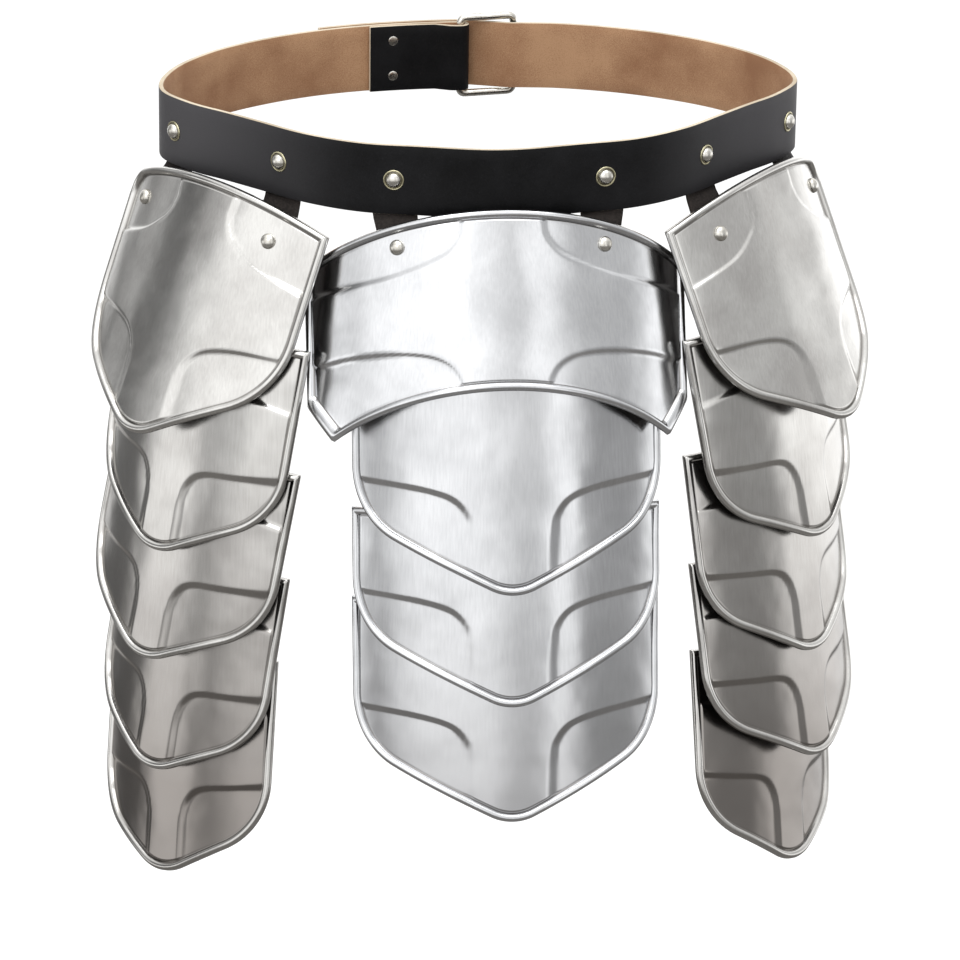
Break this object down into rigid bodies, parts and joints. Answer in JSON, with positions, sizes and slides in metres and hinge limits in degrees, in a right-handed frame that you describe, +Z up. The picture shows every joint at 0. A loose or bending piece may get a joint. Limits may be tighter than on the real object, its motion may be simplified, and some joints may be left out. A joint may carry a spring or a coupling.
{
  "type": "fauld",
  "caption": "Plate armour fauld: a leather hip belt that carries an arched steel front apron and two side tassets of overlapping embossed lames.",
  "frame": {"origin": "centre of the belt's loop, at the height of the middle of the belt at the hips", "axes": "+Z up as worn, the front apron faces -Y, the wearer's right tasset is at -X"},
  "size_m": [0.5008, 0.336, 0.5281],
  "materials": {
    "polished_steel": "satin polished",
    "belt_leather": "black, smooth grain",
    "strap_leather": "dark, pebbled grain",
    "rivet_steel": "polished",
    "buckle_steel": "satin"
  },
  "bodies": {
    "root": {"belt": "belt_leather", "buckle": "buckle_steel", "fold_rivet_lower": "rivet_steel", "fold_rivet_upper": "rivet_steel", "front_plate": "polished_steel", "front_lame_1": "polished_steel", "front_lame_2": "polished_steel", "front_lame_3": "polished_steel", "front_strap_left": "strap_leather", "left_plate": "polished_steel", "left_lame_1": "polished_steel", "left_lame_2": "polished_steel", "left_lame_3": "polished_steel", "left_lame_4": "polished_steel", "left_strap_front": "strap_leather", "left_strap_rear": "strap_leather", "front_strap_right": "strap_leather", "right_plate": "polished_steel", "right_lame_1": "polished_steel", "right_lame_2": "polished_steel", "right_lame_3": "polished_steel", "right_lame_4": "polished_steel", "right_strap_front": "strap_leather", "right_strap_rear": "strap_leather", "front_belt_rivet_left": "rivet_steel", "front_plate_rivet_left": "rivet_steel", "front_lame_1_rivet_left": "rivet_steel", "front_lame_2_rivet_left": "rivet_steel", "front_lame_3_rivet_left": "rivet_steel", "left_belt_rivet_front": "rivet_steel", "left_plate_rivet_front": "rivet_steel", "left_lame_1_rivet_front": "rivet_steel", "left_lame_2_rivet_front": "rivet_steel", "left_lame_3_rivet_front": "rivet_steel", "left_lame_4_rivet_front": "rivet_steel", "left_belt_rivet_rear": "rivet_steel", "left_plate_rivet_rear": "rivet_steel", "left_lame_1_rivet_rear": "rivet_steel", "left_lame_2_rivet_rear": "rivet_steel", "left_lame_3_rivet_rear": "rivet_steel", "left_lame_4_rivet_rear": "rivet_steel", "front_belt_rivet_right": "rivet_steel", "front_plate_rivet_right": "rivet_steel", "front_lame_1_rivet_right": "rivet_steel", "front_lame_2_rivet_right": "rivet_steel", "front_lame_3_rivet_right": "rivet_steel", "right_belt_rivet_front": "rivet_steel", "right_plate_rivet_front": "rivet_steel", "right_lame_1_rivet_front": "rivet_steel", "right_lame_2_rivet_front": "rivet_steel", "right_lame_3_rivet_front": "rivet_steel", "right_lame_4_rivet_front": "rivet_steel", "right_belt_rivet_rear": "rivet_steel", "right_plate_rivet_rear": "rivet_steel", "right_lame_1_rivet_rear": "rivet_steel", "right_lame_2_rivet_rear": "rivet_steel", "right_lame_3_rivet_rear": "rivet_steel", "right_lame_4_rivet_rear": "rivet_steel"}
  },
  "joints": []
}
